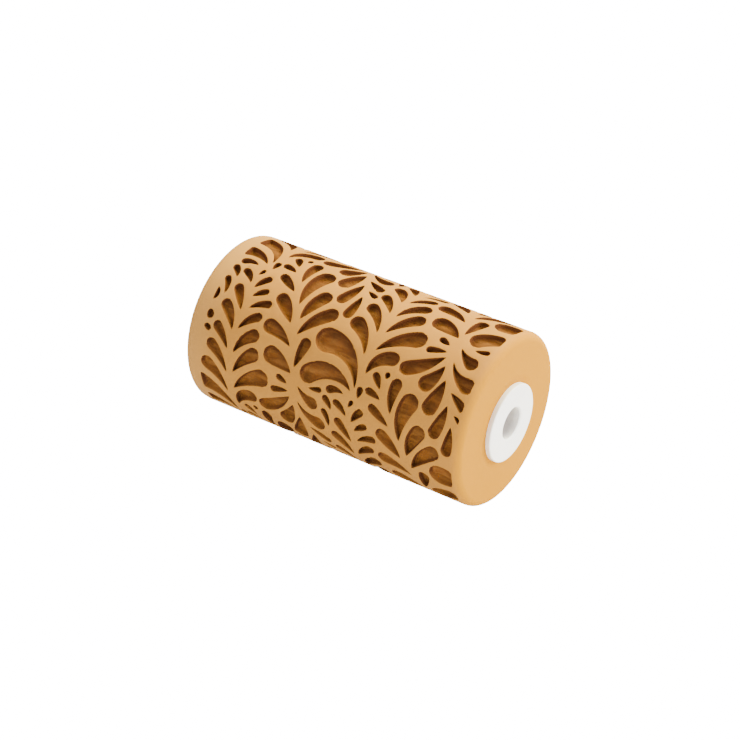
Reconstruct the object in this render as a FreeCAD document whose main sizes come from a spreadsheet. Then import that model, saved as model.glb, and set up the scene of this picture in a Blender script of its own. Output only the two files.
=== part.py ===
import FreeCAD, Part
import math
import os

import Sketcher

# A paint and texture roller: a thick engraved rubber sleeve bonded on a hard core tube, with a
# flanged nylon bush pressed into each end. It lies along X, with its middle at the origin.
# All lengths are millimetres and all angles degrees.

SHEET_NAME = "dims"

DRIVING_DIMENSIONS = [
    ("sleeve_length", 149.0),
    ("sleeve_diameter", 82.0),
    ("sleeve_rim_round", 4.0),
    ("tube_outer_diameter", 34.0),
    ("tube_inner_diameter", 28.0),
    ("axle_bore_diameter", 15.0),
    ("axle_bore_chamfer", 0.6),
    ("flange_diameter", 37.0),
    ("flange_proud", 2.4),
    ("flange_edge_round", 0.7),
    ("spigot_diameter", 27.8),
    ("spigot_reach", 18.0),
    ("spigot_wall", 1.8),
    ("spigot_chamfer", 0.8),
    ("hub_diameter", 19.0),
    ("hub_reach", 20.0),
    ("end_plate_depth", 1.5),
    ("web_thickness", 1.6),
    ("web_count", 6),
    ("crush_rib_diameter", 1.2),
    ("crush_rib_height", 0.12),
    ("crush_rib_reach", 15.0),
    ("crush_rib_count", 8),
    ("pocket_depth", 3.0),
    ("pattern_left_edge", -65.2),
    ("pattern_right_edge", 70.9),
    ("repeats_round", 3),
    ("column_pitch", 67.7),
    ("column_drop", 43.5),
    ("least_leaf_width", 1.0),
]

# How far the tools that cut the pockets reach past the pocket floors and past the skin.
WEDGE_UNDER_FLOOR = 1.14
WEDGE_OVER_SKIN = 2.46
TRIM_OVER_SKIN = 1.23

SAME_PLACE = 1e-4
LEAST_SHARE_REMOVED = 0.6

# One repeat of the leaf pattern, laid flat: x runs along the roller and s up its near side.
# Each leaf has a sharp tip and a round head. Its two sides are arcs from the tip that run
# smoothly into the head's circle. Fullness is how far round the head they meet it, counted
# from the side that faces the tip, and bend takes one side further round and the other less.
# (tip x, tip s, head x, head s, head radius, fullness, bend)
LEAVES = [
    # two great curling leaves
    (18.2, 18.0, -2.4, 33.6, 5.6, 84, 46),
    (16.3, 16.2, -6.2, 16.3, 4.2, 91, 45),
    # right-hand side of the tall frond, from the top down
    (21.9, 77.9, 30.3, 82.3, 1.7, 89, -17),
    (20.4, 67.4, 28.2, 75.2, 2.0, 89, -17),
    (20.8, 56.1, 29.4, 66.7, 2.9, 85, -22),
    (21.4, 46.3, 31.3, 58.2, 3.2, 84, -14),
    (21.5, 37.2, 37.0, 48.6, 4.1, 83, -18),
    (21.5, 25.9, 31.0, 36.0, 3.1, 91, -40),
    # left-hand side of the tall frond, from the top down
    (18.1, 75.7, 12.2, 84.7, 2.2, 90, 5),
    (17.3, 65.9, 10.2, 75.7, 2.5, 91, 16),
    (17.1, 56.7, 9.5, 65.2, 2.2, 87, 12),
    (17.7, 45.0, 8.5, 56.0, 2.7, 85, 19),
    (17.2, 33.4, 6.9, 45.8, 3.4, 82, 24),
    # left-hand spray of the small fern
    (13.2, 13.6, 6.1, 13.2, 1.7, 84, 26),
    (7.8, 3.8, 4.6, 8.3, 1.5, 92, 20),
    (15.9, 3.5, 10.5, 8.3, 1.6, 92, 20),
    (6.5, -5.7, 4.3, 1.5, 1.4, 92, 22),
    # right-hand spray of the small fern
    (20.7, -2.4, 25.9, 1.6, 1.4, 94, -16),
    (19.0, 1.8, 23.1, 7.9, 1.7, 90, -12),
    (16.9, 8.6, 18.2, 11.2, 0.9, 85, 0),
    (20.8, 14.3, 21.2, 18.1, 1.4, 82, 0),
    (31.5, 17.4, 25.3, 19.2, 1.5, 92, 12),
    (30.3, 21.7, 26.9, 26.6, 1.7, 87, 2),
    (31.7, 26.0, 31.9, 28.7, 1.1, 80, 0),
    (37.8, 7.0, 28.8, 12.4, 1.9, 94, 2),
    # leaves that fall towards the foot of the next column
    (38.0, 13.2, 37.5, 26.2, 2.6, 88, -12),
    (44.0, 2.0, 46.2, 20.8, 4.1, 86, -18),
    (44.5, -7.6, 35.0, 1.4, 2.9, 95, 8),
    (48.6, 68.3, 35.7, 73.6, 3.3, 84, 16),
    (48.1, -4.4, 53.2, 9.3, 3.4, 90, -12),
    (50.1, -11.4, 61.2, 2.4, 3.3, 90, -15),
    # rosette of drops round one bare centre
    (53.1, 45.2, 38.6, 34.6, 3.1, 94, -14),
    (52.1, 47.9, 44.3, 46.2, 1.4, 90, 5),
    (51.2, 51.6, 46.8, 53.1, 1.3, 93, 0),
    (52.4, 57.0, 40.8, 61.7, 4.0, 86, 12),
    (53.7, 60.3, 56.0, 71.8, 2.6, 87, 0),
    (63.2, 53.6, 68.6, 54.5, 1.1, 88, 8),
    (57.4, 52.1, 65.4, 46.6, 2.9, 69, 16),
    (57.8, 44.4, 68.5, 36.5, 3.5, 70, 25),
    (55.0, 41.3, 50.3, 31.4, 3.5, 82, -16),
    (58.3, 35.5, 55.7, 22.4, 3.5, 88, -8),
    # three loose drops between the columns
    (63.3, 31.4, 71.5, 26.6, 2.0, 88, 0),
    (68.1, 22.7, 72.7, 20.4, 1.3, 85, 0),
    (63.6, 25.6, 60.7, 12.5, 2.7, 92, -10),
    (68.0, 17.4, 67.9, 6.2, 2.4, 89, -8),
]


doc = FreeCAD.newDocument("PatternRoller")


def make_sheet():
    """Put the driving dimensions in a spreadsheet, each under its alias."""
    sheet = doc.addObject("Spreadsheet::Sheet", SHEET_NAME)
    for row, (alias, value) in enumerate(DRIVING_DIMENSIONS, start=1):
        sheet.set(f"A{row}", alias)
        sheet.set(f"B{row}", str(value))
        sheet.setAlias(f"B{row}", alias)
    doc.recompute()
    return sheet


sheet = make_sheet()


def bind(item, target, formula):
    """Bind one property or constraint to a formula in which $name is a cell of the sheet."""
    item.setExpression(target, formula.replace("$", SHEET_NAME + "."))


def new_sketch(body, name, plane_role):
    """Start a sketch on one of the body's own origin planes."""
    sketch = body.newObject("Sketcher::SketchObject", name)
    plane = next(f for f in body.Origin.OriginFeatures if f.Role == plane_role)
    sketch.AttachmentSupport = (plane, "")
    sketch.MapMode = "FlatFace"
    return sketch


def add_outline(sketch, corners):
    """Draw a closed outline of straight lines, and pin every corner's x and y to formulas.

    Each corner is (x, y, x formula, y formula), where x and y only place it roughly. A formula
    gives a positive distance from the sketch's axis.
    """
    points = [FreeCAD.Vector(x, y, 0) for x, y, _, _ in corners]
    count = len(points)
    for i, point in enumerate(points):
        sketch.addGeometry(Part.LineSegment(point, points[(i + 1) % count]), False)
    for i in range(count):
        sketch.addConstraint(Sketcher.Constraint("Coincident", i, 2, (i + 1) % count, 1))
    for i, (x, y, x_formula, y_formula) in enumerate(corners):
        for kind, place, formula in (("DistanceX", x, x_formula), ("DistanceY", y, y_formula)):
            if formula == "0":
                on_axis = -2 if kind == "DistanceX" else -1
                sketch.addConstraint(Sketcher.Constraint("PointOnObject", i, 1, on_axis))
                continue
            index = sketch.addConstraint(Sketcher.Constraint(kind, -1, 1, i, 1, place))
            sketch.renameConstraint(index, f"{kind}{i}")
            bind(sketch, f"Constraints.{kind}{i}", formula)


def revolve_about_x(body, sketch, name):
    """Turn a profile all the way round the sketch's horizontal axis, which is the body's X."""
    turn = body.newObject("PartDesign::Revolution", name)
    turn.Profile = sketch
    turn.ReferenceAxis = (sketch, ["H_Axis"])
    turn.Angle = 360
    sketch.Visibility = False
    doc.recompute()
    return turn


def circle_edges(feature, radius, x=None):
    """Name the feature's circular edges of one radius, at one x if it is given."""
    names = []
    for number, edge in enumerate(feature.Shape.Edges, start=1):
        curve = edge.Curve
        if not isinstance(curve, Part.Circle) or abs(curve.Radius - radius) > SAME_PLACE:
            continue
        if x is None or abs(curve.Center.x - x) < SAME_PLACE:
            names.append(f"Edge{number}")
    return names


def make_tube_body(name, length, outer_diameter, inner_diameter):
    """Make a plain round tube along X, centred on the origin, from the sheet's cells."""
    body = doc.addObject("PartDesign::Body", name)
    sketch = new_sketch(body, name + "_profile", "XY_Plane")
    half = sheet.get(length) / 2
    outer = sheet.get(outer_diameter) / 2
    inner = sheet.get(inner_diameter) / 2
    left = f"-${length} / 2"
    right = f"${length} / 2"
    outside = f"${outer_diameter} / 2"
    inside = f"${inner_diameter} / 2"
    add_outline(sketch, [
        (-half, inner, left, inside),
        (half, inner, right, inside),
        (half, outer, right, outside),
        (-half, outer, left, outside),
    ])
    return body, revolve_about_x(body, sketch, name + "_turned")


def make_sleeve_blank():
    """Make the sleeve before it is engraved: a thick tube with both rims rounded over."""
    body, turned = make_tube_body(
        "sleeve_blank", "sleeve_length", "sleeve_diameter", "tube_outer_diameter")
    rims = body.newObject("PartDesign::Fillet", "rounded_rims")
    rims.Base = (turned, circle_edges(turned, sheet.sleeve_diameter / 2))
    bind(rims, "Radius", "$sleeve_rim_round")
    turned.Visibility = False
    body.Tip = rims
    doc.recompute()
    return body


def side_arc(tip, head, radius, angle):
    """Give the middle and the end of the arc that leaves the tip and runs smoothly into the head.

    The angle is where it meets the head's circle, counted counter-clockwise from the side that
    faces the tip.
    """
    facing = math.atan2(tip[1] - head[1], tip[0] - head[0])
    out = (math.cos(facing + angle), math.sin(facing + angle))
    end = (head[0] + radius * out[0], head[1] + radius * out[1])
    chord = (end[0] - tip[0], end[1] - tip[1])
    along_out = chord[0] * out[0] + chord[1] * out[1]
    arc_radius = (chord[0] ** 2 + chord[1] ** 2) / (2 * along_out)
    centre = (end[0] - arc_radius * out[0], end[1] - arc_radius * out[1])
    middle = ((tip[0] + end[0]) / 2 - centre[0], (tip[1] + end[1]) / 2 - centre[1])
    scale = abs(arc_radius) / math.hypot(*middle)
    return (centre[0] + middle[0] * scale, centre[1] + middle[1] * scale), end


def leaf_arcs(leaf):
    """Give a leaf's outline as three arcs, each a start, a middle and an end point."""
    tip = leaf[0:2]
    head = leaf[2:4]
    radius = leaf[4]
    first = math.radians(leaf[5] + leaf[6])
    second = math.radians(leaf[5] - leaf[6])
    first_middle, first_end = side_arc(tip, head, radius, first)
    second_middle, second_end = side_arc(tip, head, radius, -second)
    facing = math.atan2(tip[1] - head[1], tip[0] - head[0])
    back = facing + math.pi + (first - second) / 2
    crown = (head[0] + radius * math.cos(back), head[1] + radius * math.sin(back))
    return [
        (tip, first_middle, first_end),
        (first_end, crown, second_end),
        (second_end, second_middle, tip),
    ]


def leaf_wedge(leaf, shift_x, shift_round):
    """Make a wedge with radial walls that stands through the sleeve's skin under one leaf.

    The flat pattern wraps round the sleeve, so a distance up it becomes an angle from the near
    side, -Y. The wedge runs between two planes square to the radius through the leaf's middle,
    one under the pocket's floor and one clear of the skin.
    """
    radius = sheet.sleeve_diameter / 2
    middle_up = (leaf[1] + leaf[3]) / 2
    turn = (middle_up + shift_round) / radius
    outward = FreeCAD.Vector(0, -math.cos(turn), math.sin(turn))
    upward = FreeCAD.Vector(0, math.sin(turn), math.cos(turn))

    def on_plane(point, distance):
        up = distance * math.tan((point[1] - middle_up) / radius)
        return FreeCAD.Vector(point[0] + shift_x, 0, 0) + outward * distance + upward * up

    lowest = radius - sheet.pocket_depth - WEDGE_UNDER_FLOOR
    highest = radius + WEDGE_OVER_SKIN
    wires = []
    for distance in (lowest, highest):
        edges = [Part.Arc(*[on_plane(point, distance) for point in arc]).toShape()
                 for arc in leaf_arcs(leaf)]
        wires.append(Part.Wire(edges))
    return Part.makeLoft(wires, True, True)


def make_pattern_cutter():
    """Make every pocket's solid: the leaves of all columns, trimmed at both ends of the pattern.

    One third of the way round holds one repeat, so each pocket is made once and turned.
    """
    radius = sheet.sleeve_diameter / 2
    left = sheet.pattern_left_edge
    right = sheet.pattern_right_edge
    x_axis = FreeCAD.Vector(1, 0, 0)
    start = FreeCAD.Vector(left, 0, 0)
    skin = Part.makeCylinder(radius + TRIM_OVER_SKIN, right - left, start, x_axis)
    skin = skin.cut(Part.makeCylinder(radius - sheet.pocket_depth, right - left, start, x_axis))
    columns = math.ceil((right - left) / sheet.column_pitch) + 1
    pockets = []
    for column in range(-columns, columns + 1):
        shift_x = column * sheet.column_pitch
        for leaf in LEAVES:
            lowest_x = min(leaf[0], leaf[2] - leaf[4]) + shift_x
            highest_x = max(leaf[0], leaf[2] + leaf[4]) + shift_x
            if min(highest_x, right) - max(lowest_x, left) < sheet.least_leaf_width:
                continue
            wedge = leaf_wedge(leaf, shift_x, column * sheet.column_drop)
            pockets.append(wedge.common(skin))
    repeats = int(sheet.repeats_round)
    turned = []
    for repeat in range(repeats):
        for pocket in pockets:
            copy = pocket.copy()
            copy.rotate(FreeCAD.Vector(0, 0, 0), x_axis, 360 / repeats * repeat)
            turned.append(copy)
    cutter = doc.addObject("Part::Feature", "pattern_cutter")
    cutter.Shape = Part.Compound(turned)
    cutter.Placement = FreeCAD.Placement()
    return cutter


def make_pattern_sleeve():
    """Engrave the sleeve blank with the leaf pattern."""
    blank = make_sleeve_blank()
    cutter = make_pattern_cutter()
    sleeve = doc.addObject("Part::Cut", "pattern_sleeve")
    sleeve.Base = blank
    sleeve.Tool = cutter
    doc.recompute()
    removed = blank.Shape.Volume - sleeve.Shape.Volume
    pocket_count = len(cutter.Shape.Solids)
    print(f"pattern_sleeve: {pocket_count} pockets take away {removed:.0f} mm3")
    if removed < LEAST_SHARE_REMOVED * cutter.Shape.Volume:
        raise RuntimeError("the pockets are not cut into the sleeve")
    return sleeve


def make_core_tube():
    """Make the hard tube that the sleeve is bonded to and the bushes press into."""
    body, _ = make_tube_body(
        "core_tube", "sleeve_length", "tube_outer_diameter", "tube_inner_diameter")
    return body


def repeat_round_x(body, feature, sketch, name, count_formula):
    """Copy a feature evenly round the body's X axis."""
    ring = body.newObject("PartDesign::PolarPattern", name)
    ring.Originals = [feature]
    ring.Axis = (sketch, ["N_Axis"])
    ring.Angle = 360
    bind(ring, "Occurrences", count_formula)
    feature.Visibility = False
    body.Tip = ring
    doc.recompute()
    return ring


def pad_inward(body, sketch, name, length_formula):
    """Pad a sketch on the seat plane towards the bush's inner end."""
    pad = body.newObject("PartDesign::Pad", name)
    pad.Profile = sketch
    pad.Reversed = True
    bind(pad, "Length", length_formula)
    sketch.Visibility = False
    body.Tip = pad
    doc.recompute()
    return pad


def make_bush(name):
    """Make an end bush: flange outwards at +X, with its seat face on the body's YZ plane.

    Behind the flange are a spigot that presses into the tube and a hub round the axle, with
    webs between the two and small crush ribs along the outside of the spigot.
    """
    body = doc.addObject("PartDesign::Body", name)
    profile = new_sketch(body, name + "_profile", "XY_Plane")
    bore = sheet.axle_bore_diameter / 2
    hub = sheet.hub_diameter / 2
    spigot = sheet.spigot_diameter / 2
    inside_spigot = spigot - sheet.spigot_wall
    bore_formula = "$axle_bore_diameter / 2"
    hub_formula = "$hub_diameter / 2"
    spigot_formula = "$spigot_diameter / 2"
    inside_formula = "$spigot_diameter / 2 - $spigot_wall"
    add_outline(profile, [
        (-sheet.hub_reach, bore, "-$hub_reach", bore_formula),
        (sheet.flange_proud, bore, "$flange_proud", bore_formula),
        (sheet.flange_proud, sheet.flange_diameter / 2, "$flange_proud", "$flange_diameter / 2"),
        (0, sheet.flange_diameter / 2, "0", "$flange_diameter / 2"),
        (0, spigot, "0", spigot_formula),
        (-sheet.spigot_reach, spigot, "-$spigot_reach", spigot_formula),
        (-sheet.spigot_reach, inside_spigot, "-$spigot_reach", inside_formula),
        (-sheet.end_plate_depth, inside_spigot, "-$end_plate_depth", inside_formula),
        (-sheet.end_plate_depth, hub, "-$end_plate_depth", hub_formula),
        (-sheet.hub_reach, hub, "-$hub_reach", hub_formula),
    ])
    turned = revolve_about_x(body, profile, name + "_turned")
    before_webs = turned.Shape.Volume

    web = new_sketch(body, name + "_web_profile", "YZ_Plane")
    half_web = sheet.web_thickness / 2
    web_start = f"{hub_formula} - $spigot_wall / 2"
    web_end = f"{inside_formula} + $spigot_wall / 2"
    low = hub - sheet.spigot_wall / 2
    high = inside_spigot + sheet.spigot_wall / 2
    add_outline(web, [
        (low, -half_web, web_start, "-$web_thickness / 2"),
        (high, -half_web, web_end, "-$web_thickness / 2"),
        (high, half_web, web_end, "$web_thickness / 2"),
        (low, half_web, web_start, "$web_thickness / 2"),
    ])
    first_web = pad_inward(body, web, name + "_web", "$spigot_reach - $spigot_chamfer")
    webs = repeat_round_x(body, first_web, web, name + "_webs", "$web_count")
    if webs.Shape.Volume <= before_webs:
        raise RuntimeError("the webs add nothing to the bush")

    rib = new_sketch(body, name + "_rib_profile", "YZ_Plane")
    rib_radius = sheet.crush_rib_diameter / 2
    rib_centre = spigot + sheet.crush_rib_height - rib_radius
    circle = Part.Circle(FreeCAD.Vector(rib_centre, 0, 0), FreeCAD.Vector(0, 0, 1), rib_radius)
    rib.addGeometry(circle, False)
    rib.addConstraint(Sketcher.Constraint("PointOnObject", 0, 3, -1))
    rib.addConstraint(Sketcher.Constraint("DistanceX", -1, 1, 0, 3, rib_centre))
    rib.renameConstraint(1, "rib_centre")
    rib.addConstraint(Sketcher.Constraint("Radius", 0, rib_radius))
    rib.renameConstraint(2, "rib_radius")
    centre_formula = f"{spigot_formula} + $crush_rib_height - $crush_rib_diameter / 2"
    bind(rib, "Constraints.rib_centre", centre_formula)
    bind(rib, "Constraints.rib_radius", "$crush_rib_diameter / 2")
    first_rib = pad_inward(body, rib, name + "_rib", "$crush_rib_reach")
    ribs = repeat_round_x(body, first_rib, rib, name + "_ribs", "$crush_rib_count")
    if ribs.Shape.Volume <= webs.Shape.Volume:
        raise RuntimeError("the crush ribs add nothing to the bush")

    lead_in = body.newObject("PartDesign::Chamfer", name + "_lead_in")
    lead_in.Base = (ribs, circle_edges(ribs, spigot, -sheet.spigot_reach))
    bind(lead_in, "Size", "$spigot_chamfer")
    doc.recompute()
    mouth = body.newObject("PartDesign::Chamfer", name + "_bore_mouth")
    mouth.Base = (lead_in, circle_edges(lead_in, bore, sheet.flange_proud))
    bind(mouth, "Size", "$axle_bore_chamfer")
    doc.recompute()
    edge = body.newObject("PartDesign::Fillet", name + "_flange_edge")
    edge.Base = (mouth, circle_edges(mouth, sheet.flange_diameter / 2, sheet.flange_proud))
    bind(edge, "Radius", "$flange_edge_round")
    body.Tip = edge
    doc.recompute()
    return body


def make_bushes():
    """Make both end bushes and seat their flanges on the two ends of the sleeve."""
    right = make_bush("right_end_bush")
    bind(right, "Placement.Base.x", "$sleeve_length / 2")
    left = make_bush("left_end_bush")
    left.Placement = FreeCAD.Placement(
        FreeCAD.Vector(0, 0, 0), FreeCAD.Rotation(FreeCAD.Vector(0, 0, 1), 180))
    bind(left, "Placement.Base.x", "-$sleeve_length / 2")
    doc.recompute()
    return [right, left]


def check_document(pieces):
    """Stop if any object failed, or if a piece has no sound shape of its own."""
    for item in doc.Objects:
        if "Invalid" in item.State or "Error" in item.State:
            raise RuntimeError(f"{item.Label} failed: {item.State}")
    for piece in pieces:
        shape = piece.Shape
        if shape.isNull() or not shape.isValid() or len(shape.Solids) != 1:
            raise RuntimeError(f"{piece.Label} is not one sound solid")


def write_parts(pieces):
    """Write each piece's shape to a STEP file named after it."""
    os.makedirs("parts", exist_ok=True)
    for piece in pieces:
        piece.Shape.exportStep(f"parts/{piece.Label}.step")
        print(f"{piece.Label}: {len(piece.Shape.Faces)} faces, {piece.Shape.Volume:.0f} mm3")


pieces = [make_pattern_sleeve(), make_core_tube()] + make_bushes()
doc.recompute()
check_document(pieces)
write_parts(pieces)
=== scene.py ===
"""Looks for the textured pattern roller: engraved rubber sleeve, core tube and two nylon bushes."""

import math

import bpy
import numpy as np
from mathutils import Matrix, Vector, geometry, kdtree, noise


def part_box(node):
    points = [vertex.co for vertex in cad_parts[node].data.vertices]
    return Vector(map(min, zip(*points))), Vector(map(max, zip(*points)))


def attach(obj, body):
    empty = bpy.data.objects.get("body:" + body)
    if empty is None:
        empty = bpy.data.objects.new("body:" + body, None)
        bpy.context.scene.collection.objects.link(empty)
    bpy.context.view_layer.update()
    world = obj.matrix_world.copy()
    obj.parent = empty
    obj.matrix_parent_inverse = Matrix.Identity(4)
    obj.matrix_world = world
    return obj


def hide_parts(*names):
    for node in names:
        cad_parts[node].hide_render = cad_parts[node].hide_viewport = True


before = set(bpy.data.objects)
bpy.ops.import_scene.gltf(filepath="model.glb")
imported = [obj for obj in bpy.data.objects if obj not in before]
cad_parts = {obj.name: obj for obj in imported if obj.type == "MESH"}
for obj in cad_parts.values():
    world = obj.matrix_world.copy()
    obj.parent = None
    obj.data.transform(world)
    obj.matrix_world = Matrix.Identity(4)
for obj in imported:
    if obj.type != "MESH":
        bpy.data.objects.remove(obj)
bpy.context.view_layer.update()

MM = 0.001

# ---------------------------------------------------------------- sizes read from the frame

SLEEVE = "pattern_sleeve"
TUBE = "core_tube"
BUSHES = ("left_end_bush", "right_end_bush")

sleeve_low, sleeve_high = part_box(SLEEVE)
RADIUS = sleeve_high.z
HALF_LENGTH = sleeve_high.x
TUBE_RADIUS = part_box(TUBE)[1].z
BUSH_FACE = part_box("right_end_bush")[1].x

# Two sizes of the CAD that the frame's boxes don't show.
RIM_ROUND = 4.0 * MM
BORE_RADIUS = 7.5 * MM


# ---------------------------------------------------------------- camera, stage and lights

FLOOR_LEVEL = sleeve_low.z
FLOOR_HALF_WIDTH = 4.0
FLOOR_ALBEDO = 0.35
FLOOR_GLOW = 17.0
CARD_UNDER_FLOOR = 1.0 * MM
CARD_ALBEDO = 0.5
CARD_GLOW = 0.72
BACKDROP_RADIUS = 6.0
BACKDROP_STEPS = 24
BACKDROP_GLOW = 18.0

CAMERA_AZIMUTH = math.radians(34.27)
CAMERA_ELEVATION = math.radians(35.16)
CAMERA_DISTANCE = 0.927
CAMERA_LENS = 98.6
CAMERA_SENSOR = 36.0
AIM_RIGHT = 1.1 * MM
AIM_DOWN = 1.4 * MM

WORLD_STRENGTH = 0.84
LIGHT_SIZE = 0.8

# Each soft light: its name, place in metres, power in watts and colour. All face the roller.
LIGHTS = [
    ("key", (0.0, 0.78, 1.04), 67.0, (1.0, 0.97, 0.5)),
    ("back_light", (0.92, 0.80, 0.46), 29.0, (1.0, 1.0, 1.0)),
    ("end_light", (1.28, -0.22, 0.0), 50.0, (1.0, 0.98, 0.95)),
    ("front_fill", (-0.92, -0.46, 0.80), 9.0, (1.0, 1.0, 1.0)),
    ("low_fill", (-0.35, -1.25, 0.10), 4.0, (1.0, 1.0, 1.0)),
]


def make_camera():
    """Stand the camera in front, to the right and above, aimed just beside the roller's middle."""
    a, e = CAMERA_AZIMUTH, CAMERA_ELEVATION
    back = Vector((math.sin(a) * math.cos(e), -math.cos(a) * math.cos(e), math.sin(e)))
    right = Vector((math.cos(a), math.sin(a), 0.0))
    up = back.cross(right)
    data = bpy.data.cameras.new("camera")
    data.lens = CAMERA_LENS
    data.sensor_width = CAMERA_SENSOR
    camera = bpy.data.objects.new("camera", data)
    camera.location = back * CAMERA_DISTANCE + right * AIM_RIGHT - up * AIM_DOWN
    camera.rotation_euler = (-back).to_track_quat("-Z", "Y").to_euler()
    bpy.context.scene.collection.objects.link(camera)
    bpy.context.scene.camera = camera


def make_lights():
    """Light the roller softly from above and behind and from the right, in a pale studio."""
    for name, place, power, colour in LIGHTS:
        data = bpy.data.lights.new(name, "AREA")
        data.size = LIGHT_SIZE
        data.energy = power
        data.color = colour
        light = bpy.data.objects.new(name, data)
        light.location = place
        light.rotation_euler = Vector(place).to_track_quat("Z", "Y").to_euler()
        bpy.context.scene.collection.objects.link(light)
    world = bpy.data.worlds.new("studio")
    world.use_nodes = True
    background = world.node_tree.nodes["Background"]
    background.inputs["Color"].default_value = (1.0, 1.0, 1.0, 1.0)
    background.inputs["Strength"].default_value = WORLD_STRENGTH
    bpy.context.scene.world = world


def glowing_material(name, albedo, glow):
    """A matt pale material that also gives off light of its own."""
    material = bpy.data.materials.new(name)
    material.use_nodes = True
    shader = material.node_tree.nodes["Principled BSDF"]
    shader.inputs["Base Color"].default_value = (albedo, albedo, albedo, 1.0)
    shader.inputs["Roughness"].default_value = 0.6
    shader.inputs["Specular IOR Level"].default_value = 0.1
    shader.inputs["Emission Color"].default_value = (1.0, 1.0, 1.0, 1.0)
    shader.inputs["Emission Strength"].default_value = glow
    return material


def make_floor_sheet(name, level, material):
    """Lay one wide flat sheet of the stage."""
    half = FLOOR_HALF_WIDTH
    corners = [(-half, -half), (half, -half), (half, half), (-half, half)]
    mesh = bpy.data.meshes.new(name)
    mesh.from_pydata([(x, y, level) for x, y in corners], [], [(0, 1, 2, 3)])
    mesh.materials.append(material)
    sheet = bpy.data.objects.new(name, mesh)
    bpy.context.scene.collection.objects.link(sheet)
    return sheet


def make_floor():
    """Lay the pale floor as two sheets: a bright top to be seen, and a card to light the roller."""
    top = make_floor_sheet(
        "floor", FLOOR_LEVEL, glowing_material("pale_floor", FLOOR_ALBEDO, FLOOR_GLOW))
    card = make_floor_sheet(
        "bounce_card", FLOOR_LEVEL - CARD_UNDER_FLOOR,
        glowing_material("bounce_card", CARD_ALBEDO, CARD_GLOW))
    top.visible_diffuse = False
    top.visible_glossy = False
    top.visible_transmission = False
    top.visible_shadow = False
    card.visible_camera = False


def make_backdrop():
    """Hang a pale backdrop all round, far off, that neither lights nor shades the roller."""
    mesh = bpy.data.meshes.new("backdrop")
    levels = BACKDROP_STEPS // 2
    points, faces = [], []
    for level in range(levels + 1):
        turn = math.pi * (level / levels - 0.5)
        reach = BACKDROP_RADIUS * math.cos(turn)
        height = BACKDROP_RADIUS * math.sin(turn)
        for step in range(BACKDROP_STEPS):
            around = 2 * math.pi * step / BACKDROP_STEPS
            points.append((reach * math.cos(around), reach * math.sin(around), height))
    for level in range(levels):
        for step in range(BACKDROP_STEPS):
            ahead = (step + 1) % BACKDROP_STEPS
            low, high = level * BACKDROP_STEPS, (level + 1) * BACKDROP_STEPS
            faces.append((low + step, low + ahead, high + ahead, high + step))
    mesh.from_pydata(points, [], faces)
    backdrop = bpy.data.objects.new("backdrop", mesh)
    bpy.context.scene.collection.objects.link(backdrop)
    mesh.materials.append(glowing_material("pale_backdrop", 0.0, BACKDROP_GLOW))
    backdrop.visible_diffuse = False
    backdrop.visible_glossy = False
    backdrop.visible_transmission = False
    backdrop.visible_shadow = False


# ---------------------------------------------------------------- material helpers


class Nodes:
    """Short calls for building one material's nodes."""

    def __init__(self, name):
        self.material = bpy.data.materials.new(name)
        self.material.use_nodes = True
        self.tree = self.material.node_tree
        self.shader = self.tree.nodes["Principled BSDF"]

    def add(self, kind, **settings):
        node = self.tree.nodes.new(kind)
        for key, value in settings.items():
            setattr(node, key, value)
        return node

    def plug(self, source, target):
        self.tree.links.new(source, target)

    def value(self, socket, source):
        """Set a socket to a number, or link another socket to it."""
        if hasattr(source, "is_output"):
            self.plug(source, socket)
        else:
            socket.default_value = source

    def maths(self, operation, first, second=0.0, third=0.0):
        node = self.add("ShaderNodeMath", operation=operation)
        for socket, source in zip(node.inputs, (first, second, third)):
            self.value(socket, source)
        return node.outputs[0]

    def scaled_place(self, scale):
        """Object coordinates in millimetres, stretched by a scale along each axis."""
        coordinates = self.add("ShaderNodeTexCoord")
        mapping = self.add("ShaderNodeMapping")
        mapping.inputs["Scale"].default_value = [s / MM for s in scale]
        self.plug(coordinates.outputs["Object"], mapping.inputs["Vector"])
        return mapping.outputs["Vector"]

    def split(self, vector):
        """A vector's X, Y and Z as three values."""
        node = self.add("ShaderNodeSeparateXYZ")
        self.plug(vector, node.inputs[0])
        return node.outputs

    def noise(self, vector, scale, detail=2.0, roughness=0.5, distortion=0.0):
        node = self.add("ShaderNodeTexNoise")
        self.plug(vector, node.inputs["Vector"])
        node.inputs["Scale"].default_value = scale
        node.inputs["Detail"].default_value = detail
        node.inputs["Roughness"].default_value = roughness
        node.inputs["Distortion"].default_value = distortion
        return node.outputs["Fac"]

    def spread(self, source, low, high, to_low=0.0, to_high=1.0):
        """Stretch a value's range to another, smoothly."""
        node = self.add("ShaderNodeMapRange", interpolation_type="SMOOTHSTEP")
        self.plug(source, node.inputs["Value"])
        for key, number in zip(("From Min", "From Max", "To Min", "To Max"),
                               (low, high, to_low, to_high)):
            node.inputs[key].default_value = number
        return node.outputs["Result"]

    def mix(self, factor, first, second):
        """Blend two colours."""
        node = self.add("ShaderNodeMix", data_type="RGBA")
        self.value(node.inputs["Factor"], factor)
        self.value(node.inputs[6], first)
        self.value(node.inputs[7], second)
        return node.outputs[2]

    def blend(self, factor, first, second):
        """Blend two plain values."""
        node = self.add("ShaderNodeMix", data_type="FLOAT")
        self.value(node.inputs["Factor"], factor)
        self.value(node.inputs[2], first)
        self.value(node.inputs[3], second)
        return node.outputs[0]

    def attribute(self, name):
        node = self.add("ShaderNodeAttribute", attribute_name=name)
        return node.outputs["Fac"]

    def bump(self, height, distance, strength=1.0, normal=None):
        node = self.add("ShaderNodeBump")
        node.inputs["Distance"].default_value = distance
        node.inputs["Strength"].default_value = strength
        self.plug(height, node.inputs["Height"])
        if normal is not None:
            self.plug(normal, node.inputs["Normal"])
        return node.outputs["Normal"]


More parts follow.
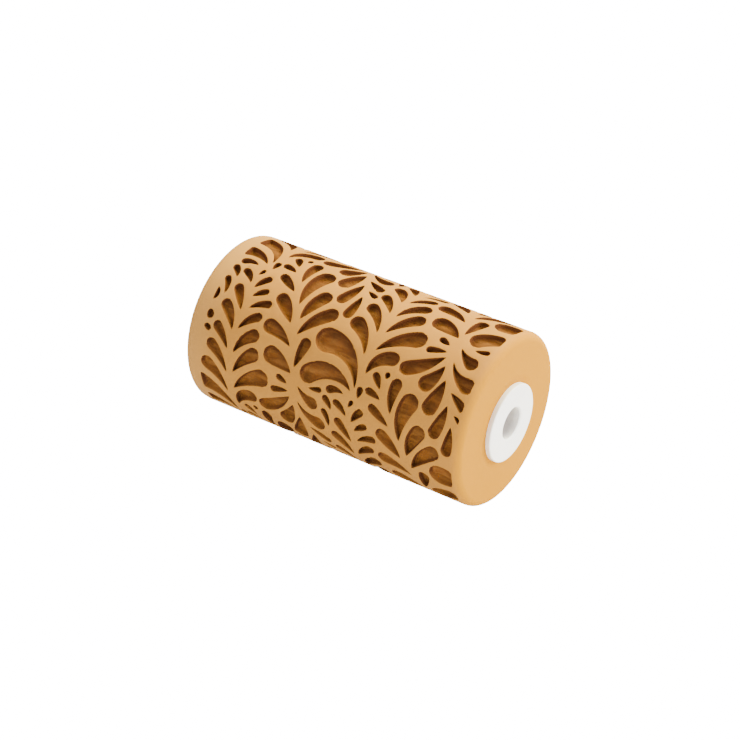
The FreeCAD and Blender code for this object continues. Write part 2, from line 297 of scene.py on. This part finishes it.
def srgb(red, green, blue):
    """Turn 0 to 255 display values into the linear colour a shader takes."""
    linear = []
    for value in (red, green, blue):
        v = value / 255.0
        linear.append(v / 12.92 if v <= 0.04045 else ((v + 0.055) / 1.055) ** 2.4)
    return (*linear, 1.0)


# ---------------------------------------------------------------- materials

SKIN_TAN = srgb(172, 118, 49)
SKIN_LIGHT_TAN = srgb(178, 123, 53)
SKIN_PATCH = srgb(169, 114, 45)
SKIN_AT_FAR_END = srgb(176, 128, 68)
SKIN_AT_NEAR_END = srgb(172, 115, 2)
FLOOR_BROWN = srgb(106, 66, 30)
FLOOR_LIGHT_BROWN = srgb(142, 93, 44)
FLOOR_BLOTCH = srgb(138, 80, 34)
FLOOR_FIBRE = srgb(90, 52, 24)
# Painted light: a paler floor for pockets low on the roller.
FLOOR_PAINTED_LIGHT = srgb(140, 94, 44)
# Painted shade on the pocket floors.
PAINTED_SHADE_BROWN = srgb(62, 34, 19)
WALL_BROWN = srgb(66, 36, 19)
WALL_LIGHT_BROWN = srgb(82, 46, 23)
# Painted light on the walls: beside a pocket's lower edge, and towards the top.
WALL_PAINTED_LIGHT = srgb(118, 74, 33)
WALL_PAINTED_LIGHT_ALOFT = srgb(96, 55, 27)
NYLON_WHITE = srgb(250, 245, 241)
NYLON_BRIGHT = srgb(253, 250, 247)
# Painted shade deep inside the bush's bore.
NYLON_PAINTED_BORE_SHADE = srgb(204, 198, 194)
TUBE_GREY = srgb(158, 158, 154)
TUBE_LIGHT_GREY = srgb(176, 176, 172)

# Where the rubber changes, in millimetres: along X, up Z, and in depth under the skin.
NEAR_END = ((HALF_LENGTH - RIM_ROUND) / MM, HALF_LENGTH / MM)
FAR_END = (-72.0, -48.0)
# TOP_SIDE: where the painted shade and light in the pockets change towards the roller's top.
# LOW_SIDE: where the floors get painted light low on the roller.
TOP_SIDE = (26.0, 40.2)
LOW_SIDE = (-26.0, -8.0)
LIP_DEPTHS = (0.0, 0.17)
FLOOR_DEPTHS = (1.6, 2.8)
STREAK_DEPTHS = (1.5, 2.8)

# Where the painted shade in the bush's bore lies, in millimetres: outside the bore's wall, and in
# from the face.
BORE_SKIN = (0.05, 0.3)
BORE_SHADE = (4.5, 0.8)


def engraved_rubber():
    """Tan rubber with dark brown pocket walls and paler, streaked brown pocket floors, and painted
    shade and light in the pockets.

    The sleeve's depth attribute, in millimetres under the skin, says which of them shows. Its
    painted-shade attribute is 1 beside a pocket's upper edge, where shade is painted on the floor
    and the wall stays dark, and -1 beside the lower, where light is painted on the wall. Towards
    the roller's top this turns over, and shade is painted beside the floor's lower edge instead.
    """
    n = Nodes("engraved_rubber")
    place = n.scaled_place((1.0, 1.0, 1.0))
    streaked = n.scaled_place((0.2, 1.0, 1.0))
    depth = n.attribute("depth")
    painted_shade_side = n.attribute("painted_shade_side")
    x, _, z = n.split(place)
    # Painted shading: how far up the roller the painted shade and light turn over.
    painted_shading_aloft = n.spread(z, *TOP_SIDE)
    near_end = n.spread(x, *NEAR_END)
    far_end = n.spread(x, *FAR_END, 0.8, 0.0)
    painted_light_below = n.spread(z, *LOW_SIDE, 0.4, 0.0)
    cloud = n.spread(n.noise(place, 0.045, 3.0, 0.6), 0.3, 0.7)
    patch = n.spread(n.noise(place, 0.22, 3.0, 0.6), 0.3, 0.7, 0.0, 0.35)
    grain = n.noise(place, 2.2, 4.0, 0.6)
    skin = n.mix(cloud, SKIN_TAN, SKIN_LIGHT_TAN)
    skin = n.mix(patch, skin, SKIN_PATCH)
    skin = n.mix(far_end, skin, SKIN_AT_FAR_END)
    skin = n.mix(near_end, skin, SKIN_AT_NEAR_END)
    streaks = n.noise(streaked, 0.42, 2.5, 0.55, 0.5)
    fibres = n.noise(streaked, 1.5, 3.0, 0.6, 0.6)
    blotches = n.noise(place, 0.2, 2.0, 0.5)
    floor = n.mix(n.spread(streaks, 0.34, 0.68), FLOOR_BROWN, FLOOR_LIGHT_BROWN)
    floor = n.mix(n.spread(blotches, 0.4, 0.7, 0.0, 0.45), floor, FLOOR_BLOTCH)
    floor = n.mix(n.spread(fibres, 0.5, 0.75, 0.0, 0.3), floor, FLOOR_FIBRE)
    # Painted shade: floors darkened beside a pocket's upper edge, and towards the roller's top
    # beside its lower edge instead.
    painted_shade = n.blend(
        painted_shading_aloft, n.spread(painted_shade_side, -0.25, 0.95, 0.0, 0.82), n.spread(painted_shade_side, -0.9, 0.9, 0.78, 0.12))
    # Painted light: floors paler low on the roller.
    floor = n.mix(painted_light_below, floor, FLOOR_PAINTED_LIGHT)
    floor = n.mix(painted_shade, floor, PAINTED_SHADE_BROWN)
    # Walls: dark brown, partly their own colour and partly painted shade. Painted light makes them
    # paler beside a pocket's lower edge, except near the top, and a little paler towards the top.
    wall = n.mix(n.spread(fibres, 0.35, 0.7), WALL_BROWN, WALL_LIGHT_BROWN)
    wall = n.mix(n.maths("MAXIMUM", painted_shading_aloft, n.spread(painted_shade_side, -1.0, -0.2)), WALL_PAINTED_LIGHT, wall)
    wall = n.mix(n.maths("MULTIPLY", painted_shading_aloft, 0.45), wall, WALL_PAINTED_LIGHT_ALOFT)
    lip = n.spread(depth, *LIP_DEPTHS)
    base = n.mix(lip, skin, wall)
    base = n.mix(n.spread(depth, *FLOOR_DEPTHS), base, floor)
    n.plug(base, n.shader.inputs["Base Color"])
    rough = n.blend(lip, n.spread(grain, 0.2, 0.8, 0.5, 0.62), 0.8)
    n.plug(rough, n.shader.inputs["Roughness"])
    n.shader.inputs["Specular IOR Level"].default_value = 0.03
    normal = n.bump(n.noise(place, 0.5, 3.0, 0.55), 0.10 * MM, 0.5)
    streaks = n.maths("MULTIPLY", streaks, n.spread(depth, *STREAK_DEPTHS))
    normal = n.bump(streaks, 0.5 * MM, 0.7, normal)
    normal = n.bump(grain, 0.03 * MM, 0.6, normal)
    n.plug(normal, n.shader.inputs["Normal"])
    return n.material


def white_nylon():
    """Satin moulded nylon, barely warm, with painted shade greying it deep inside the bore."""
    n = Nodes("white_nylon")
    place = n.scaled_place((1.0, 1.0, 1.0))
    cloud = n.spread(n.noise(place, 0.12, 2.0, 0.5), 0.3, 0.7)
    nylon = n.mix(cloud, NYLON_WHITE, NYLON_BRIGHT)
    x, y, z = n.split(place)
    from_axis = n.maths("SQRT", n.maths("MULTIPLY_ADD", y, y, n.maths("MULTIPLY", z, z)))
    bore, face = BORE_RADIUS / MM, BUSH_FACE / MM
    painted_bore_shade = n.spread(from_axis, bore + BORE_SKIN[0], bore + BORE_SKIN[1], 1.0, 0.0)
    along = n.maths("ABSOLUTE", x)
    deep = n.spread(along, face - BORE_SHADE[0], face - BORE_SHADE[1], 1.0, 0.0)
    # Painted shade: grey deep inside the bore.
    nylon = n.mix(n.maths("MULTIPLY", painted_bore_shade, deep), nylon, NYLON_PAINTED_BORE_SHADE)
    n.plug(nylon, n.shader.inputs["Base Color"])
    grain = n.noise(place, 1.6, 4.0, 0.6)
    n.plug(n.spread(grain, 0.2, 0.8, 0.34, 0.46), n.shader.inputs["Roughness"])
    n.shader.inputs["Subsurface Weight"].default_value = 0.15
    n.shader.inputs["Subsurface Radius"].default_value = (1.0, 0.8, 0.6)
    n.shader.inputs["Subsurface Scale"].default_value = 1.0 * MM
    n.plug(n.bump(grain, 0.02 * MM, 0.5), n.shader.inputs["Normal"])
    return n.material


def core_plastic():
    """Plain grey extruded tube, with fine lines along its length."""
    n = Nodes("core_plastic")
    lines = n.noise(n.scaled_place((0.02, 1.0, 1.0)), 3.0, 3.0, 0.6)
    n.plug(n.mix(lines, TUBE_GREY, TUBE_LIGHT_GREY), n.shader.inputs["Base Color"])
    n.plug(n.spread(lines, 0.2, 0.8, 0.4, 0.55), n.shader.inputs["Roughness"])
    n.plug(n.bump(lines, 0.04 * MM, 0.5), n.shader.inputs["Normal"])
    return n.material


# ---------------------------------------------------------------- the engraved sleeve

CIRCUMFERENCE = 2 * math.pi * RADIUS
WELD_STEP = 0.0001 * MM
SKIN_TOLERANCE = 0.03 * MM
PATTERN_CLEAR_OF_END = 2.0 * MM
LEAST_LOOP_POINTS = 6
SAME_PLACE = 0.01 * MM

# How the outlines are smoothed: what counts as a corner or a tip, and how close their points are.
CORNER_TURN = math.radians(50)
TIP_TURN = math.radians(118)
CORNER_CUT = 1.1 * MM
BEND_STEPS = 8
FINE_STEP = 0.2 * MM
OUTLINE_STEP = 1.15 * MM
OUTLINE_TURN = math.radians(21)

# How far a pocket's rings may use the room to its neighbours, and how far off those are sought.
NARROW_SHARE = 0.86
NEIGHBOUR_REACH = 1.6 * MM
NO_LIMIT = 1.0

# For the painted shade: what counts as up on the flat skin, and how softly a pocket's upper side
# turns into its lower.
PAINTED_SHADE_UP = np.array((0.3, 0.95))
PAINTED_SHADE_SOFTNESS = 0.3 * MM

# Grids of points on the floors and the skin, and how far they keep off the outlines.
FLOOR_GRID = 1.05 * MM
FLOOR_CLEARANCE = 0.55 * FLOOR_GRID
SKIN_GRID = 2.2 * MM
SKIN_CLEARANCE = 0.5 * SKIN_GRID
SKIN_SEED = 5
GRID_ROW_SHARE = 0.87
GRID_NUDGE = 0.2
SKIN_END = HALF_LENGTH - 2.5 * MM
WRAP_MARGIN = 25.0 * MM
ROUND_STEPS = 240
RIM_STEPS = 9
END_RING_SHARES = (0.12, 0.4, 0.7, 1.0)
INSIDE_ONLY, EVERYTHING = 1, 0
CDT_EPSILON = 1e-9

# Streaks on the floors: waves per millimetre along the roller and across it, and height in mm.
# The shift keeps the narrow ones from following the broad ones.
BROAD_STREAKS = (0.10, 0.32, 0.20)
NARROW_STREAKS = (0.22, 0.9, 0.10)
NARROW_SHIFT = 7.0

# How a pocket's side falls away: each ring's distance in from the outline, and its depth there.
POCKET_PROFILE = [
    (-0.50 * MM, 0.0),
    (-0.28 * MM, 0.04 * MM),
    (-0.12 * MM, 0.20 * MM),
    (0.00 * MM, 0.65 * MM),
    (0.14 * MM, 1.25 * MM),
    (0.34 * MM, 1.85 * MM),
    (0.64 * MM, 2.40 * MM),
    (1.05 * MM, 2.80 * MM),
    (1.60 * MM, 3.0 * MM),
]
LIP_REACH = -POCKET_PROFILE[0][0]
WALL_REACH, FLOOR_DEPTH = POCKET_PROFILE[-1]


def rim_drop(x):
    """How far the rounded rim lies under the full radius, at distances x from the middle."""
    past = np.clip(np.abs(x) - (HALF_LENGTH - RIM_ROUND), 0.0, RIM_ROUND)
    return RIM_ROUND - np.sqrt(RIM_ROUND ** 2 - past ** 2)


def welded_mesh(node):
    """A node's vertices and triangles as arrays, with vertices at one place joined."""
    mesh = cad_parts[node].data
    mesh.calc_loop_triangles()
    points = np.array([v.co for v in mesh.vertices], float)
    triangles = np.array([t.vertices for t in mesh.loop_triangles])
    keys = np.round(points / WELD_STEP).astype(np.int64)
    _, first, inverse = np.unique(keys, axis=0, return_index=True, return_inverse=True)
    return points[first], inverse.reshape(-1)[triangles]


def pocket_edges():
    """Find the edges between the CAD sleeve's skin and its pockets, and its vertices' places.

    The edges are given as a list, for each vertex, of the vertices that follow it.
    """
    points, triangles = welded_mesh(SLEEVE)
    out = np.hypot(points[:, 1], points[:, 2])
    on_skin = np.abs(RADIUS - rim_drop(points[:, 0]) - out) < SKIN_TOLERANCE
    on_skin &= np.abs(points[:, 0]) < HALF_LENGTH - PATTERN_CLEAR_OF_END
    corners = points[triangles]
    normals = np.cross(corners[:, 1] - corners[:, 0], corners[:, 2] - corners[:, 0])
    middles = corners.mean(axis=1) * (0.0, 1.0, 1.0)
    facing_out = (normals * middles).sum(axis=1)
    facing_out /= np.linalg.norm(normals, axis=1) * np.linalg.norm(middles, axis=1)
    skin = on_skin[triangles].all(axis=1) & (facing_out > 0.0)
    skin_edges = {(a, b) for t in triangles[skin] for a, b in zip(t, np.roll(t, -1))}
    follows = {}
    for triangle in triangles[~skin]:
        for a, b in zip(triangle, np.roll(triangle, -1)):
            if (b, a) in skin_edges and on_skin[a] and on_skin[b]:
                follows.setdefault(b, []).append(a)
    return points, follows


def closed_loops(follows):
    """Walk from vertex to vertex until every edge is used up, and give each closed loop."""
    loops = []
    while follows:
        start = next(iter(follows))
        trail = [start]
        while trail:
            here = trail[-1]
            if here not in follows:
                trail.pop()
                continue
            after = follows[here].pop()
            if not follows[here]:
                del follows[here]
            if after in trail:
                turn_back = trail.index(after)
                loops.append(trail[turn_back:])
                trail = trail[:turn_back + 1]
            else:
                trail.append(after)
    return loops


def pocket_loops():
    """Lay the edge of every pocket on the CAD sleeve flat, as closed loops of (x, s).

    Here s is the distance round the sleeve from -Y towards +Z, so that x and s lay the skin
    flat, seen from outside. It runs on without a jump along each loop.
    """
    points, follows = pocket_edges()
    flat = []
    for loop in closed_loops(follows):
        ring = points[loop]
        s = np.unwrap(np.arctan2(ring[:, 2], -ring[:, 1])) * RADIUS
        if len(loop) >= LEAST_LOOP_POINTS and np.ptp(s) < CIRCUMFERENCE / 2:
            flat.append(np.stack([ring[:, 0], s], axis=1))
    return flat


def loop_area(loop):
    """Signed area of a flat loop, positive when it runs counter-clockwise."""
    ahead = np.roll(loop, -1, axis=0)
    return 0.5 * (loop[:, 0] * ahead[:, 1] - ahead[:, 0] * loop[:, 1]).sum()


def smooth_curve(path):
    """Lay a smooth curve through a path's points, as many points a FINE_STEP apart."""
    step = np.linalg.norm(np.diff(path, axis=0), axis=1)
    at = np.concatenate([[0.0], np.cumsum(step)])
    slope = np.gradient(path, at, axis=0)
    if len(path) > 2:
        slope[0] = 2 * (path[1] - path[0]) / step[0] - slope[1]
        slope[-1] = 2 * (path[-1] - path[-2]) / step[-1] - slope[-2]
    count = max(2, math.ceil(at[-1] / FINE_STEP))
    place = np.linspace(0.0, at[-1], count + 1)
    piece = np.clip(np.searchsorted(at, place, side="right") - 1, 0, len(step) - 1)
    length = step[piece][:, None]
    u = ((place - at[piece]) / step[piece])[:, None]
    return ((2 * u ** 3 - 3 * u ** 2 + 1) * path[piece]
            + (u ** 3 - 2 * u ** 2 + u) * length * slope[piece]
            + (3 * u ** 2 - 2 * u ** 3) * path[piece + 1]
            + (u ** 3 - u ** 2) * length * slope[piece + 1])


def even_steps(fine):
    """Choose places along a finely divided curve, closer together where it bends more."""
    run = np.diff(fine, axis=0)
    length = np.linalg.norm(run, axis=1)
    heading = np.unwrap(np.arctan2(run[:, 1], run[:, 0]))
    turn = np.abs(np.gradient(heading)) if len(heading) > 1 else np.zeros(1)
    deserved = np.maximum(length / OUTLINE_STEP, turn / OUTLINE_TURN)
    cost = np.concatenate([[0.0], np.cumsum(deserved)])
    wanted = np.linspace(0.0, cost[-1], max(1, math.ceil(cost[-1])) + 1)
    where = np.interp(wanted, cost, np.arange(len(fine)))
    low = np.clip(where.astype(int), 0, len(fine) - 2)
    share = (where - low)[:, None]
    return fine[low] * (1 - share) + fine[low + 1] * share


def cut_corner(before, after):
    """Cut two curves back from the corner where they meet, and give the bend that joins them."""
    corner = after[0]
    cut = []
    for curve in (before[::-1], after):
        gone = int((np.linalg.norm(curve - corner, axis=1) < CORNER_CUT).sum())
        cut.append(min(gone, len(curve) // 3))
    before = before[:len(before) - cut[0]]
    after = after[cut[1]:]
    u = np.linspace(0.0, 1.0, BEND_STEPS + 1)[1:-1, None]
    bend = (1 - u) ** 2 * before[-1] + 2 * u * (1 - u) * corner + u ** 2 * after[0]
    return before, bend, after


def smooth_outline(loop):
    """Turn a CAD loop into an even outline, and a finely divided one to measure from.

    Sharp tips stay as they are, blunter corners are rounded a little, and the stretches between
    them become smooth curves.
    """
    gap = np.linalg.norm(loop - np.roll(loop, 1, axis=0), axis=1)
    loop = loop[gap > SAME_PLACE]
    before = loop - np.roll(loop, 1, axis=0)
    after = np.roll(before, -1, axis=0)
    cross = before[:, 0] * after[:, 1] - before[:, 1] * after[:, 0]
    turn = np.abs(np.arctan2(cross, (before * after).sum(axis=1)))
    sharpest = int(np.argmax(turn))
    loop = np.roll(loop, -sharpest, axis=0)
    turn = np.roll(turn, -sharpest)
    corners = np.union1d([0], np.flatnonzero(turn > CORNER_TURN))
    ends = np.append(corners[1:], len(loop))
    loop = np.vstack([loop, loop[:1]])
    curves = []
    for start, end in zip(corners, ends):
        curve = smooth_curve(loop[start:end + 1])
        if curves and turn[start] < TIP_TURN:
            curves[-1] = np.vstack(cut_corner(curves[-1], curve))
        else:
            curves.append(curve)
    if CORNER_TURN < turn[0] < TIP_TURN:
        before, bend, after = cut_corner(curves[0], curves[0])
        skipped = len(curves[0]) - len(after)
        curves = [np.vstack([before[skipped:], bend, after[:1]])]
    fine = [curve[:-1] for curve in curves]
    even = [even_steps(curve)[:-1] for curve in curves]
    return np.vstack(fine), np.vstack(even)


def inward_normals(outline):
    """Unit vectors into a counter-clockwise outline, and the sine of half its inner angle."""
    before = outline - np.roll(outline, 1, axis=0)
    after = np.roll(outline, -1, axis=0) - outline
    before /= np.linalg.norm(before, axis=1)[:, None]
    after /= np.linalg.norm(after, axis=1)[:, None]
    along = before + after
    size = np.linalg.norm(along, axis=1)
    normals = np.stack([-along[:, 1], along[:, 0]], axis=1) / np.maximum(size, 1e-9)[:, None]
    return normals, np.clip(size / 2, 0.05, 1.0)


def room(points, normals, others):
    """How far each point can go along its normal and still be the nearest edge's distance away."""
    offset = others[None, :, :] - points[:, None, :]
    ahead = (offset * normals[:, None, :]).sum(axis=2)
    square = (offset ** 2).sum(axis=2)
    in_front = ahead > 1e-3 * np.sqrt(square) + 1e-9
    return np.where(in_front, square / np.maximum(2 * ahead, 1e-12), NO_LIMIT).min(axis=1)


def on_sleeve(x, s, depth):
    """Wrap flat places round the sleeve, at a depth under its skin."""
    out = RADIUS - rim_drop(x) - depth
    angle = s / RADIUS
    return np.stack([x, -out * np.cos(angle), out * np.sin(angle)], axis=-1)


def jittered_grid(low, high, spacing, seed):
    """Staggered rows of points over a rectangle, each nudged a little at random."""
    random = np.random.default_rng(seed)
    columns = np.arange(low[0], high[0], spacing)
    rows = np.arange(low[1], high[1], spacing * GRID_ROW_SHARE)
    x, y = np.meshgrid(columns, rows)
    x = x + (np.arange(len(rows)) % 2)[:, None] * spacing / 2
    grid = np.stack([x.ravel(), y.ravel()], axis=1)
    return grid + random.uniform(-GRID_NUDGE, GRID_NUDGE, grid.shape) * spacing


def nearest(tree, points):
    """Distance from each point to the nearest one in a tree."""
    return np.array([tree.find((p[0], p[1], 0.0))[2] for p in points])


def make_tree(points):
    """Put flat points in a tree for quick searches."""
    tree = kdtree.KDTree(len(points))
    for i, p in enumerate(points):
        tree.insert((p[0], p[1], 0.0), i)
    tree.balance()
    return tree


def inside(points, ring):
    """Tell which points lie inside a closed ring."""
    x, y = points[:, 0][:, None], points[:, 1][:, None]
    x1, y1 = ring[:, 0][None, :], ring[:, 1][None, :]
    x2, y2 = np.roll(ring[:, 0], -1)[None, :], np.roll(ring[:, 1], -1)[None, :]
    spans = (y1 > y) != (y2 > y)
    rise = np.where(y2 == y1, 1.0, y2 - y1)
    crosses = spans & (x < (x2 - x1) * (y - y1) / rise + x1)
    return crosses.sum(axis=1) % 2 == 1


class Surface:
    """Collects the sleeve's vertices, their depths and painted-shade sides, and its faces."""

    def __init__(self):
        self.points = []
        self.depths = []
        self.painted_shade_sides = []
        self.faces = []
        self.count = 0

    def add_points(self, places, depths=0.0, painted_shade_sides=0.0):
        """Add points and give their numbers."""
        numbers = np.arange(self.count, self.count + len(places))
        self.points.append(places)
        self.depths.append(np.broadcast_to(depths, len(places)))
        self.painted_shade_sides.append(np.broadcast_to(painted_shade_sides, len(places)))
        self.count += len(places)
        return numbers

    def add_strip(self, outer, inner):
        """Join two closed rings with faces that look outwards, the inner one on the left."""
        ahead = np.roll(outer, -1)
        inner_ahead = np.roll(inner, -1)
        self.faces += np.stack([outer, ahead, inner_ahead, inner], axis=1).tolist()


def floor_relief(places):
    """Low, uneven streaks along the roller, as a brush or a cutter leaves on a pocket's floor."""
    relief = []
    for x, y, z in places / MM:
        along, across, broad = BROAD_STREAKS
        broad *= noise.noise(Vector((x * along, y * across, z * across)))
        along, across, narrow = NARROW_STREAKS
        narrow *= noise.noise(Vector((x * along + NARROW_SHIFT, y * across, z * across)))
        relief.append((broad + narrow) * MM)
    return np.array(relief)


def painted_shade_share(points, outline, normals):
    """How sheltered flat places are, for the painted shade: 1 beside a pocket's upper edge and -1
    beside its lower.
    """
    reach = np.linalg.norm(outline - np.roll(outline, 1, axis=0), axis=1)
    apart = ((points[:, None, :] - outline[None, :, :]) ** 2).sum(axis=2)
    weight = (reach + np.roll(reach, -1)) / (apart + PAINTED_SHADE_SOFTNESS ** 2)
    return -(weight @ (normals @ PAINTED_SHADE_UP)) / weight.sum(axis=1)


def add_pocket(surface, outline, normals, half_sine, room_in, room_out):
    """Add one pocket's rounded lip, walls and floor, and give its outermost ring."""
    share_in = np.minimum(1.0, NARROW_SHARE * room_in / WALL_REACH)
    share_out = np.minimum(1.0, NARROW_SHARE * room_out / LIP_REACH)
    profile_in, profile_depth = np.array(POCKET_PROFILE).T
    rings = []
    for distance, depth in POCKET_PROFILE:
        if distance <= 0:
            flat = outline + normals * (distance * share_out)[:, None]
            depths = np.full(len(outline), depth)
        else:
            flat = outline + normals * (distance * share_in)[:, None]
            depths = np.interp(distance * share_in * half_sine, profile_in, profile_depth)
        places = on_sleeve(flat[:, 0], flat[:, 1], depths)
        painted_shade_sides = painted_shade_share(flat, outline, normals)
        rings.append((surface.add_points(places, depths, painted_shade_sides), flat))
    for (outer, _), (inner, _) in zip(rings[:-1], rings[1:]):
        surface.add_strip(outer, inner)
    add_floor(surface, *rings[-1], outline, normals)
    return rings[0]


def add_floor(surface, ring_numbers, ring, outline, normals):
    """Fill a pocket's innermost ring with a streaked floor."""
    grid = jittered_grid(ring.min(axis=0), ring.max(axis=0), FLOOR_GRID, len(surface.faces))
    grid = grid[inside(grid, ring)] if len(grid) else grid
    if len(grid):
        apart = np.linalg.norm(grid[:, None, :] - ring[None, :, :], axis=2).min(axis=1)
        grid = grid[apart > FLOOR_CLEARANCE]
    size = len(ring)
    flat = np.vstack([ring, grid])
    edges = [(i, (i + 1) % size) for i in range(size)]
    solved = geometry.delaunay_2d_cdt(
        [Vector(p) for p in flat], edges, [list(range(size))], INSIDE_ONLY, CDT_EPSILON)
    numbers = ring_numbers
    if len(grid):
        depths = FLOOR_DEPTH + floor_relief(on_sleeve(grid[:, 0], grid[:, 1], FLOOR_DEPTH))
        places = on_sleeve(grid[:, 0], grid[:, 1], depths)
        painted_shade_sides = painted_shade_share(grid, outline, normals)
        numbers = np.concatenate([numbers, surface.add_points(places, depths, painted_shade_sides)])
    source = [o[0] if o else 0 for o in solved[3]]
    for face in solved[2]:
        surface.faces.append([int(numbers[source[v]]) for v in face])


def add_skin(surface, rings):
    """Fill the skin between the pockets' outer rings, and close both ends and the bore."""
    end_s = np.arange(ROUND_STEPS) * CIRCUMFERENCE / ROUND_STEPS
    flat, numbers, edges, faces = [], [], [], []

    def lay(points, point_numbers, shift, closed):
        start = len(flat)
        flat.extend((points + (0.0, shift)).tolist())
        numbers.extend(point_numbers.tolist())
        size = len(points)
        if closed:
            faces.append(list(range(start, start + size)))
            edges.extend((start + i, start + (i + 1) % size) for i in range(size))

    for point_numbers, ring in rings:
        middle = ring[:, 1].mean()
        lay(ring, point_numbers, 0.0, True)
        if middle < WRAP_MARGIN:
            lay(ring, point_numbers, CIRCUMFERENCE, True)
        if middle > CIRCUMFERENCE - WRAP_MARGIN:
            lay(ring, point_numbers, -CIRCUMFERENCE, True)
    ring_points = np.array(flat)
    end_numbers = {}
    for x in (-SKIN_END, SKIN_END):
        line = np.stack([np.full(ROUND_STEPS, x), end_s], axis=1)
        end_numbers[x] = surface.add_points(on_sleeve(line[:, 0], line[:, 1], 0.0))
        for shift in (-CIRCUMFERENCE, 0.0, CIRCUMFERENCE):
            moved = line[:, 1] + shift
            kept = (moved > -2 * WRAP_MARGIN) & (moved < CIRCUMFERENCE + 2 * WRAP_MARGIN)
            lay(line[kept], end_numbers[x][kept], shift, False)
    grid_low = (-SKIN_END + SKIN_GRID / 2, 0.0)
    grid_high = (SKIN_END - SKIN_GRID * 0.7, CIRCUMFERENCE)
    grid = jittered_grid(grid_low, grid_high, SKIN_GRID, SKIN_SEED)
    grid = grid[(grid[:, 1] > 0) & (grid[:, 1] < CIRCUMFERENCE)]
    grid = grid[nearest(make_tree(ring_points), grid) > SKIN_CLEARANCE]
    grid_numbers = surface.add_points(on_sleeve(grid[:, 0], grid[:, 1], 0.0))
    lay(grid, grid_numbers, 0.0, False)
    low, high = grid[:, 1] < 2 * WRAP_MARGIN, grid[:, 1] > CIRCUMFERENCE - 2 * WRAP_MARGIN
    lay(grid[low], grid_numbers[low], CIRCUMFERENCE, False)
    lay(grid[high], grid_numbers[high], -CIRCUMFERENCE, False)
    solved = geometry.delaunay_2d_cdt(
        [Vector(p) for p in flat], edges, faces, EVERYTHING, CDT_EPSILON)
    source = [o[0] if o else -1 for o in solved[3]]
    places = np.array(flat)
    for face, inside_of in zip(solved[2], solved[5]):
        if inside_of:
            continue
        corner = [source[v] for v in face]
        middle = places[corner][:, 1].mean()
        if 0 <= middle < CIRCUMFERENCE:
            surface.faces.append([numbers[c] for c in corner])
    close_ends(surface, end_numbers, end_s)


def close_ends(surface, end_numbers, end_s):
    """Round both rims over, and add the flat ends and the bore."""
    bore_rings = []
    start = math.asin((SKIN_END - HALF_LENGTH + RIM_ROUND) / RIM_ROUND)
    for side, first in ((-1, end_numbers[-SKIN_END]), (1, end_numbers[SKIN_END])):
        rows = []
        for angle in np.linspace(start, math.pi / 2, RIM_STEPS)[1:]:
            x = HALF_LENGTH - RIM_ROUND + RIM_ROUND * math.sin(angle)
            rows.append((x, RADIUS - RIM_ROUND + RIM_ROUND * math.cos(angle)))
        face_width = RADIUS - RIM_ROUND - TUBE_RADIUS
        for share in END_RING_SHARES:
            rows.append((HALF_LENGTH, RADIUS - RIM_ROUND - share * face_width))
        ring = first
        for x, out in rows:
            places = np.stack([np.full(len(end_s), side * x), -out * np.cos(end_s / RADIUS),
                               out * np.sin(end_s / RADIUS)], axis=1)
            following = surface.add_points(places)
            if side > 0:
                surface.add_strip(following, ring)
            else:
                surface.add_strip(ring, following)
            ring = following
        bore_rings.append(ring)
    surface.add_strip(bore_rings[0], bore_rings[1])


def finish_sleeve(surface):
    """Make the object, with its depth and painted-shade attributes and smooth shading."""
    points = np.vstack(surface.points)
    depths = np.concatenate(surface.depths) / MM
    painted_shade_sides = np.concatenate(surface.painted_shade_sides)
    used = np.zeros(len(points), bool)
    for face in surface.faces:
        used[face] = True
    renumber = np.cumsum(used) - 1
    faces = [[int(renumber[v]) for v in face] for face in surface.faces]
    mesh = bpy.data.meshes.new("engraved_sleeve")
    mesh.from_pydata(points[used].tolist(), [], faces)
    mesh.attributes.new("depth", "FLOAT", "POINT").data.foreach_set("value", depths[used])
    mesh.attributes.new("painted_shade_side", "FLOAT", "POINT").data.foreach_set("value", painted_shade_sides[used])
    mesh.shade_smooth()
    mesh.validate()
    sleeve = bpy.data.objects.new("engraved_sleeve", mesh)
    bpy.context.scene.collection.objects.link(sleeve)
    mesh.materials.append(engraved_rubber())
    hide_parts(SLEEVE)
    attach(sleeve, "root")


def make_sleeve():
    """Build the engraved sleeve as one closed mesh."""
    surface = Surface()
    outlines = []
    for loop in pocket_loops():
        if loop_area(loop) < 0:
            loop = loop[::-1]
        loop[:, 1] -= math.floor(loop[:, 1].mean() / CIRCUMFERENCE) * CIRCUMFERENCE
        outlines.append(smooth_outline(loop))
    fine = np.vstack([f for f, _ in outlines])
    lifted = fine[fine[:, 1] < WRAP_MARGIN] + (0.0, CIRCUMFERENCE)
    dropped = fine[fine[:, 1] > CIRCUMFERENCE - WRAP_MARGIN] - (0.0, CIRCUMFERENCE)
    everything = np.vstack([fine, lifted, dropped])
    tree = make_tree(everything)
    rings = []
    for own_fine, outline in outlines:
        normals, half_sine = inward_normals(outline)
        room_in = room(outline, normals, own_fine)
        room_out = np.full(len(outline), NO_LIMIT)
        for i, p in enumerate(outline):
            found = [f[1] for f in tree.find_range((p[0], p[1], 0.0), NEIGHBOUR_REACH)]
            room_out[i] = room(p[None], -normals[i][None], everything[found])[0]
        rings.append(add_pocket(surface, outline, normals, half_sine, room_in, room_out))
    add_skin(surface, rings)
    finish_sleeve(surface)


# ---------------------------------------------------------------- the whole scene

make_sleeve()

for node, material in [(TUBE, core_plastic())] + [(bush, white_nylon()) for bush in BUSHES]:
    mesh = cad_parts[node].data
    mesh.materials.clear()
    mesh.materials.append(material)
    material.name.split(".")[0]

make_floor()
make_backdrop()
make_lights()
make_camera()
